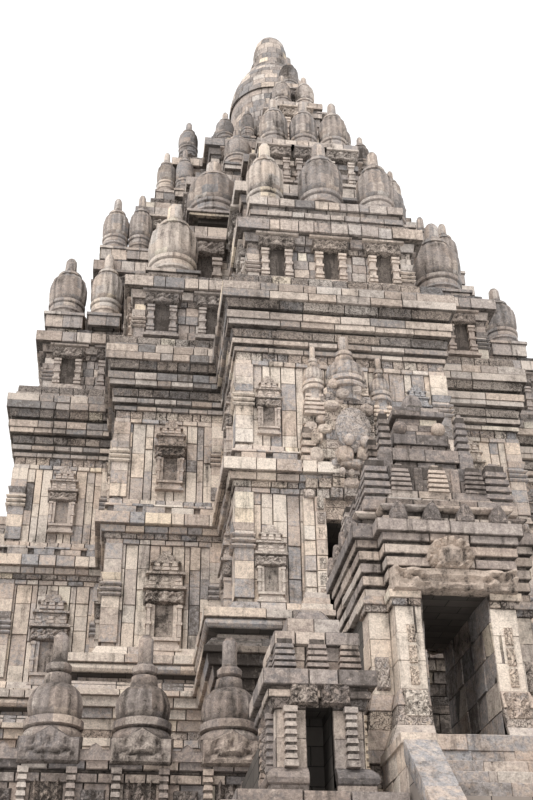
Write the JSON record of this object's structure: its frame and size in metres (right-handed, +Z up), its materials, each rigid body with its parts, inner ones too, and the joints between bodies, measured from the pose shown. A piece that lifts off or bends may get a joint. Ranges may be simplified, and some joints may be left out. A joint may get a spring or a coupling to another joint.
{
  "type": "temple tower, 1:10 scale model",
  "caption": "Stepped stone temple tower on a square terrace, with gates, stairs, corner parapets, ratna finials and a bell crown.",
  "frame": {"origin": "on the ground under the middle of the tower", "axes": "+Z up, -Y towards the front, the side with the full-height porch, +X to the right seen from the front"},
  "size_m": [5.5606, 5.5606, 4.7],
  "materials": {
    "pale_andesite": "weathered, rough",
    "dark_andesite": "weathered, rough, stained"
  },
  "bodies": {
    "root": {"terrace": "dark_andesite", "temple_foot": "pale_andesite", "front_left_parapet": "dark_andesite", "front_right_parapet": "dark_andesite", "back_right_parapet": "dark_andesite", "back_left_parapet": "dark_andesite", "front_left_body_wall": "pale_andesite", "front_right_body_wall": "pale_andesite", "back_right_body_wall": "pale_andesite", "back_left_body_wall": "pale_andesite", "front_door_head": "pale_andesite", "right_door_head": "pale_andesite", "back_door_head": "pale_andesite", "left_door_head": "pale_andesite", "front_inner_stair": "pale_andesite", "right_inner_stair": "pale_andesite", "back_inner_stair": "pale_andesite", "left_inner_stair": "pale_andesite", "front_outer_stair": "dark_andesite", "right_outer_stair": "dark_andesite", "back_outer_stair": "dark_andesite", "left_outer_stair": "dark_andesite", "front_gate_walls": "pale_andesite", "right_gate_walls": "pale_andesite", "back_gate_walls": "pale_andesite", "left_gate_walls": "pale_andesite", "front_gate_roof": "dark_andesite", "right_gate_roof": "dark_andesite", "back_gate_roof": "dark_andesite", "left_gate_roof": "dark_andesite", "front_shrine_right": "dark_andesite", "right_shrine_right": "dark_andesite", "back_shrine_right": "dark_andesite", "left_shrine_right": "dark_andesite", "front_shrine_left": "dark_andesite", "right_shrine_left": "dark_andesite", "back_shrine_left": "dark_andesite", "left_shrine_left": "dark_andesite", "main_cornice": "dark_andesite", "roof_tier_1": "pale_andesite", "roof_tier_2": "pale_andesite", "roof_tier_3": "pale_andesite", "roof_tier_4": "pale_andesite", "crown_base": "pale_andesite", "crown": "pale_andesite"}
  },
  "joints": []
}
